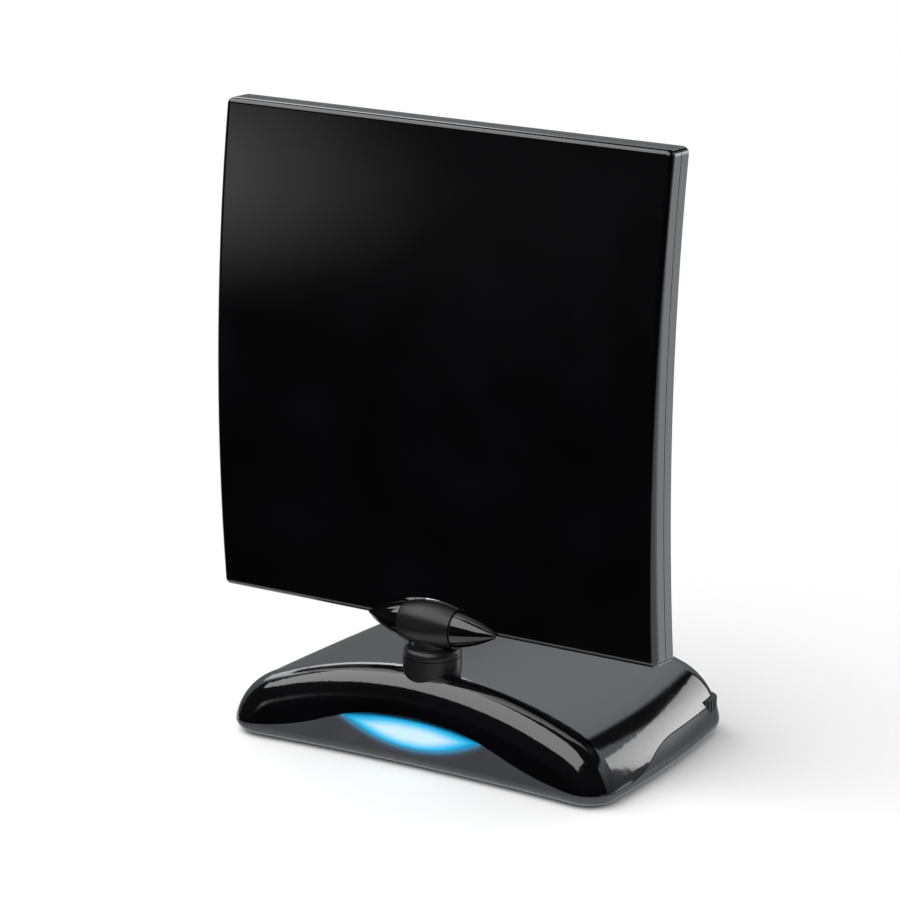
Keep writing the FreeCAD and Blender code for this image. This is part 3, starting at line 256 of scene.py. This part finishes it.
ZINC = plain("zinc_plated_steel", "#b8b9bb", 0.3, 1.0)
FINISHES = {
    piano_black("piano_black_abs_panel", 0.06): ["panel_front_cover", "panel_rear_cover"],
    piano_black("piano_black_abs_base", 0.07): ["base_top_cover"],
    satin_abs("satin_abs_fascia", "#3e3f43", 0.36, lit=True): ["base_lower_shell"],
    satin_abs("satin_abs_neck", "#141416", 0.34): ["knuckle", "swivel_socket", "gain_wheel"],
    lit_polycarbonate(): ["light_lens"],
    plain("light_chip_resin", "#e8f4f6", 0.4): ["lights"],
    plain("glass_epoxy_board", "#14532d", 0.45): ["light_board", "amplifier_board", "antenna_board"],
    plain("matt_nylon", "#161616", 0.55): ["power_jack", "gain_potentiometer", "balun",
                                           "friction_washer_left", "friction_washer_right"],
    plain("pvc_sheath", "#1a1a1b", 0.5): ["feed_lead_base", "feed_lead_neck", "feed_lead_panel", "light_lead",
                                          "gain_lead"],
    plain("polyethylene_insulator", "#e4e2da", 0.5): ["coax_core"],
    ZINC: ["shield_can", "base_screws", "board_screws", "panel_screws", "swivel_clip", "ballast_left",
           "ballast_right", "trunnion_left", "trunnion_right"],
    plain("nickel_plated_brass", "#cfc9bd", 0.2, 1.0): ["coax_socket", "power_jack_pin"],
    plain("etched_copper", "#b87350", 0.3, 1.0): ["copper_element_left", "copper_element_right"],
    plain("acetal_washer", "#dcdad2", 0.45): ["swivel_washer"],
    plain("rubber_foot", "#1c1c1c", 0.8): ["foot_front_left", "foot_front_right", "foot_back_left",
                                           "foot_back_right"],
}
for finish, names in FINISHES.items():
    for node_name in names:
        slots = nodes[node_name].data.materials
        slots.clear()
        slots.append(finish)


# Cross-head screws

SCREW_SIDES = 28
CROSS_REACH = 0.6
CROSS_WIDTH = 0.17
CROSS_TAPER = 0.55
SHARP_EDGE = math.radians(32)
CROSS_SEED = 5


def ring(mesh, radius, height, sides=SCREW_SIDES):
    """A closed ring of vertices round the screw's axis."""
    turns = [2 * math.pi * n / sides for n in range(sides)]
    return [mesh.verts.new((radius * math.cos(a), radius * math.sin(a), height)) for a in turns]


def cross_outline(mesh, reach, width, height):
    """The twelve corners of a cross."""
    arm = [(reach, -width), (reach, width), (width, width)]
    corners = list(arm)
    for turn in range(3):
        corners += [(-y, x) for x, y in corners[-3:]]
    return [mesh.verts.new((x, y, height)) for x, y in corners]


def skin(mesh, first, second):
    """Faces between two loops of as many vertices."""
    count = len(first)
    for n in range(count):
        mesh.faces.new((first[n], first[(n + 1) % count], second[(n + 1) % count], second[n]))


def screw_form(name, head, thick, shank, length):
    """A pan head with a tapered cross recess on a plain shank; its top is at the origin and faces +Z."""
    mesh = bmesh.new()
    profile = [(0.8 * head, 0.0), (0.94 * head, -0.1 * thick), (head, -0.28 * thick), (head, -thick),
               (shank, -thick), (shank, -length + shank), (0.3 * shank, -length)]
    loops = [ring(mesh, radius, height) for radius, height in profile]
    for upper, lower in zip(loops, loops[1:]):
        skin(mesh, upper, lower)
    mesh.faces.new(loops[-1])
    mouth = cross_outline(mesh, CROSS_REACH * head, CROSS_WIDTH * head, 0.0)
    floor = cross_outline(mesh, CROSS_TAPER * CROSS_REACH * head, CROSS_TAPER * CROSS_WIDTH * head,
                          -0.6 * thick)
    skin(mesh, mouth, floor)
    mesh.faces.new(floor)
    rims = [mesh.edges.get((loop[n - 1], loop[n])) or mesh.edges.new((loop[n - 1], loop[n]))
            for loop in (loops[0], mouth) for n in range(len(loop))]
    bmesh.ops.triangle_fill(mesh, edges=rims, use_beauty=True)
    bmesh.ops.recalc_face_normals(mesh, faces=mesh.faces[:])
    made = bpy.data.meshes.new(name)
    mesh.to_mesh(made)
    mesh.free()
    made.shade_smooth()
    made.set_sharp_from_angle(angle=SHARP_EDGE)
    thing = bpy.data.objects.new(name, made)
    bpy.context.collection.objects.link(thing)
    return thing


def screw_row_tree():
    """Puts a screw on every point, turned one way, each with its cross at an angle of its own."""
    tree = bpy.data.node_groups.new("screw_row", "GeometryNodeTree")
    sockets = {"Geometry": "Geometry", "Screw": "Object", "Turn": "Rotation", "Finish": "Material"}
    for name, kind in sockets.items():
        tree.interface.new_socket(name, in_out="INPUT", socket_type=f"NodeSocket{kind}")
    tree.interface.new_socket("Geometry", in_out="OUTPUT", socket_type="NodeSocketGeometry")
    given = add(tree, "NodeGroupInput").outputs
    screw = add(tree, "GeometryNodeObjectInfo", None, {"Object": given["Screw"]})
    angle = add(tree, "FunctionNodeRandomValue", {"data_type": "FLOAT"},
                {2: 0.0, 3: math.pi / 2, "Seed": CROSS_SEED})
    spin = add(tree, "FunctionNodeAxisAngleToRotation", None,
               {"Axis": (0.0, 0.0, 1.0), "Angle": angle.outputs[1]})
    turned = add(tree, "FunctionNodeRotateRotation", {"rotation_space": "LOCAL"},
                 {"Rotation": given["Turn"], "Rotate By": spin.outputs["Rotation"]})
    placed = add(tree, "GeometryNodeInstanceOnPoints", None,
                 {"Points": given["Geometry"], "Instance": screw.outputs["Geometry"],
                  "Rotation": turned.outputs["Rotation"]})
    real = add(tree, "GeometryNodeRealizeInstances", None, {"Geometry": placed.outputs["Instances"]})
    finished = add(tree, "GeometryNodeSetMaterial", None, {"Geometry": real.outputs["Geometry"],
                                                           "Material": given["Finish"]})
    add(tree, "NodeGroupOutput", None, {"Geometry": finished.outputs["Geometry"]})
    return tree


def head_tops(node_name, facing):
    """The middle of each screw head's face in a node of four screws, one to a corner."""
    places = [Vector(v.co) for v in nodes[node_name].data.vertices]
    middle = (Vector(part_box(node_name)[0]) + Vector(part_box(node_name)[1])) / 2
    sides = [axis for axis in range(3) if abs(facing[axis]) < 0.5]
    corners = {}
    for place in places:
        corners.setdefault(tuple(place[axis] > middle[axis] for axis in sides), []).append(place)
    tops = []
    for corner in corners.values():
        reach = max(place.dot(facing) for place in corner)
        face = [place for place in corner if place.dot(facing) > reach - 0.05 * MM]
        low = [min(place[axis] for place in face) for axis in range(3)]
        high = [max(place[axis] for place in face) for axis in range(3)]
        tops.append((Vector(low) + Vector(high)) / 2)
    return tops


def screw_row(name, node_name, body, facing, form):
    """Cross-head screws in place of a node's plain ones."""
    points = bpy.data.meshes.new(name)
    points.from_pydata([tuple(top) for top in head_tops(node_name, facing)], [], [])
    row = bpy.data.objects.new(name, points)
    bpy.context.collection.objects.link(row)
    tree = screw_row_tree()
    modifier = row.modifiers.new("screw_row", "NODES")
    modifier.node_group = tree
    given = {socket.name: socket.identifier for socket in tree.interface.items_tree
             if socket.in_out == "INPUT"}
    modifier[given["Screw"]] = form
    modifier[given["Turn"]] = tuple(facing.to_track_quat("Z", "Y").to_euler())
    modifier[given["Finish"]] = ZINC
    shape = bpy.data.meshes.new_from_object(row.evaluated_get(bpy.context.evaluated_depsgraph_get()))
    row.modifiers.remove(modifier)
    row.data = shape
    bpy.data.objects.remove(form)
    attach(row, body)
    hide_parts(node_name)


PANEL_LEAN = math.radians(1.8)
BACKWARD = Vector((0.0, math.cos(PANEL_LEAN), -math.sin(PANEL_LEAN)))
DOWNWARD = Vector((0.0, 0.0, -1.0))
# Head radius, head thickness, shank radius and length of each kind of screw
PANEL_SCREW = (2.8 * MM, 1.6 * MM, 1.4 * MM, 6.0 * MM)
BASE_SCREW = (3.0 * MM, 2.2 * MM, 1.5 * MM, 20.0 * MM)
screw_row("panel_cross_screws", "panel_screws", "panel", BACKWARD, screw_form("panel_screw", *PANEL_SCREW))
screw_row("base_cross_screws", "base_screws", "base", DOWNWARD, screw_form("base_screw", *BASE_SCREW))


# Studio: floor, world, lamps and camera

CAMERA_TURN = math.radians(32.952)
CAMERA_RISE = math.radians(15.398)
CAMERA_DISTANCE = 1.5508
CAMERA_LENS = 159.33
AIM = Vector((-8.365, -18.034, 118.133)) * MM
CAMERA_WAY = Vector((math.sin(CAMERA_TURN) * math.cos(CAMERA_RISE),
                     -math.cos(CAMERA_TURN) * math.cos(CAMERA_RISE), math.sin(CAMERA_RISE)))
# A soft key from the front left, by how far a diffuse ray turns towards it
KEY_WAY = Vector((-0.62, -0.7, 0.35)).normalized()
KEY_LEVELS = ((-0.6, 0.7), (0.2, 0.55), (1.0, 0.7))
# What a mirror sees, by height: a wall behind, and a dark room in front over a small white table
WALL_LEVELS = ((-0.19, 1.0), (-0.14, 0.14), (0.0, 0.17), (0.265, 0.27), (0.42, 0.48), (0.525, 0.66),
               (0.61, 0.72), (0.66, 0.02))
# A dark pillar stands before that wall, a little right of its middle
PILLAR_LEVELS = ((-0.02, 1.0), (0.05, 0.03), (0.25, 0.03), (0.31, 1.0))
ROOM_LEVELS = ((-0.46, 0.7), (-0.36, 0.0), (-0.1, 0.0), (0.12, 0.015), (0.4, 0.015))
# A pale doorway on the left of that room, by its way, how far it reaches along each axis, and its level
DOOR_WAY = Vector((-0.615, -0.79, 0.0))
DOOR_REACH = Vector((0.085, 0.6, 0.17))
DOOR_LEVEL = 0.85
TABLE_TILT = 0.25
WALL_TINT = (0.93, 0.96, 1.0)
# Half the table's width, and where it begins and ends to melt into the white
TABLE_HALF = 0.6
MELT_FROM = 0.12
MELT_TO = 0.36
LAMP_DISTANCE = 1.0


def pale_floor():
    """A matt white table top, kept out of the mirror finish as a table that ends at the feet would be."""
    mesh = bpy.data.meshes.new("floor")
    corners = [(x * TABLE_HALF, y * TABLE_HALF, 0.0) for x, y in ((-1, -1), (1, -1), (1, 1), (-1, 1))]
    mesh.from_pydata(corners, [], [(0, 1, 2, 3)])
    floor = bpy.data.objects.new("floor", mesh)
    bpy.context.collection.objects.link(floor)
    material, tree, shader, place = new_material("matt_white_table", Base_Color=linear("#f8f8f8"),
                                                 Roughness=0.9)
    # The far edge melts into the white behind it.
    out = add(tree, "ShaderNodeVectorMath", {"operation": "LENGTH"}, {0: place})
    there = add(tree, "ShaderNodeMapRange", {"interpolation_type": "SMOOTHSTEP"},
                {"Value": out.outputs["Value"], 1: MELT_FROM, 2: MELT_TO, 3: 1.0, 4: 0.0})
    tree.links.new(there.outputs["Result"], shader.inputs["Alpha"])
    mesh.materials.append(material)
    floor.visible_glossy = False


def light_along(tree, along, levels, tint=(1.0, 1.0, 1.0)):
    """The light by steps along one part of a ray's way, which runs from -1 to 1."""
    part = add(tree, "ShaderNodeMapRange", None, {"Value": along, 1: -1.0, 2: 1.0})
    stops = [((1 + at) / 2, tuple(white * share for share in tint) + (1.0,)) for at, white in levels]
    return add(tree, "ShaderNodeValToRGB", None, {"Fac": part.outputs["Result"]}, stops).outputs["Color"]


def studio_world():
    """White to the camera; mirrors and glass see a white sweep behind and below and a dark room in front."""
    world = bpy.data.worlds.new("studio")
    bpy.context.scene.world = world
    world.use_nodes = True
    tree = world.node_tree
    tree.nodes.clear()
    way = add(tree, "ShaderNodeTexCoord").outputs["Generated"]
    axes = add(tree, "ShaderNodeSeparateXYZ", None, {"Vector": way}).outputs
    # The wall behind is white below the table's edge, grey above it and ends in a dark ceiling.
    wall = light_along(tree, axes["Z"], WALL_LEVELS, WALL_TINT)
    pillar = light_along(tree, axes["X"], PILLAR_LEVELS)
    back = add(tree, "ShaderNodeMix", {"data_type": "RGBA", "blend_type": "MULTIPLY"},
               {"Factor": 1.0, 6: wall, 7: pillar})
    # The table shows nearer its feet on the right than on the left.
    aside = add(tree, "ShaderNodeMath", {"operation": "MULTIPLY_ADD"},
                {0: axes["X"], 1: -TABLE_TILT, 2: axes["Z"]})
    dim = light_along(tree, aside.outputs["Value"], ROOM_LEVELS)
    # The doorway is brightest in its middle and fades to nothing at its reach.
    off = add(tree, "ShaderNodeVectorMath", {"operation": "SUBTRACT"}, {0: way, 1: DOOR_WAY})
    part = add(tree, "ShaderNodeVectorMath", {"operation": "DIVIDE"},
               {0: off.outputs["Vector"], 1: DOOR_REACH})
    past = add(tree, "ShaderNodeVectorMath", {"operation": "LENGTH"}, {0: part.outputs["Vector"]})
    open_door = add(tree, "ShaderNodeMapRange", {"interpolation_type": "SMOOTHSTEP"},
                    {"Value": past.outputs["Value"], 1: 0.0, 2: 1.0, 3: 1.0, 4: 0.0})
    front = add(tree, "ShaderNodeMix", {"data_type": "RGBA"},
                {"Factor": open_door.outputs["Result"], 6: dim, 7: grey(DOOR_LEVEL)})
    behind = add(tree, "ShaderNodeMapRange", {"interpolation_type": "SMOOTHSTEP"},
                 {"Value": axes["Y"], 1: 0.0, 2: 0.15})
    room = add(tree, "ShaderNodeMix", {"data_type": "RGBA"},
               {"Factor": behind.outputs["Result"], 6: front.outputs[2], 7: back.outputs[2]})
    path = add(tree, "ShaderNodeLightPath").outputs
    seen = add(tree, "ShaderNodeMix", {"data_type": "RGBA"},
               {"Factor": path["Is Camera Ray"], 6: room.outputs[2], 7: grey(1.0)})
    mirrored = add(tree, "ShaderNodeMath", {"operation": "MAXIMUM"},
                   {0: path["Is Glossy Ray"], 1: path["Is Transmission Ray"]})
    shown = add(tree, "ShaderNodeMath", {"operation": "MAXIMUM"},
                {0: mirrored.outputs["Value"], 1: path["Is Camera Ray"]})
    toward = add(tree, "ShaderNodeVectorMath", {"operation": "DOT_PRODUCT"}, {0: way, 1: KEY_WAY})
    key = light_along(tree, toward.outputs["Value"], KEY_LEVELS)
    light = add(tree, "ShaderNodeBackground", None, {"Color": key, "Strength": 1.0})
    view = add(tree, "ShaderNodeBackground", None, {"Color": seen.outputs[2], "Strength": 1.0})
    mix = add(tree, "ShaderNodeMixShader", None,
              {0: shown.outputs["Value"], 1: light.outputs["Background"], 2: view.outputs["Background"]})
    add(tree, "ShaderNodeOutputWorld", None, {"Surface": mix.outputs["Shader"]})


def softbox(name, way, size, level, spread=180.0):
    """A soft rectangular lamp that looks at the object; a grid with a small spread dims its edges."""
    lamp = bpy.data.lights.new(name, "AREA")
    lamp.shape = "RECTANGLE"
    lamp.size, lamp.size_y = size
    lamp.energy = level * math.pi * size[0] * size[1]
    lamp.spread = math.radians(spread)
    thing = bpy.data.objects.new(name, lamp)
    bpy.context.collection.objects.link(thing)
    way = Vector(way).normalized()
    thing.location = AIM + way * LAMP_DISTANCE
    thing.rotation_euler = (-way).to_track_quat("-Z", "Y").to_euler()
    thing.visible_camera = False


pale_floor()
studio_world()
softbox("overhead", (-0.25, -0.47, 0.8), (2.0, 0.9), 2.2)
softbox("back_right", (0.42, 0.9, 0.16), (0.5, 0.4), 0.4, 70.0)
softbox("back_left", (-0.72, 0.48, 0.46), (0.8, 0.3), 1.6)

camera_data = bpy.data.cameras.new("camera")
camera_data.lens = CAMERA_LENS
camera_data.sensor_width = 36.0
camera = bpy.data.objects.new("camera", camera_data)
bpy.context.collection.objects.link(camera)
camera.location = AIM + CAMERA_WAY * CAMERA_DISTANCE
camera.rotation_euler = (-CAMERA_WAY).to_track_quat("-Z", "Y").to_euler()
bpy.context.scene.camera = camera
bpy.context.scene.view_settings.view_transform = "Standard"
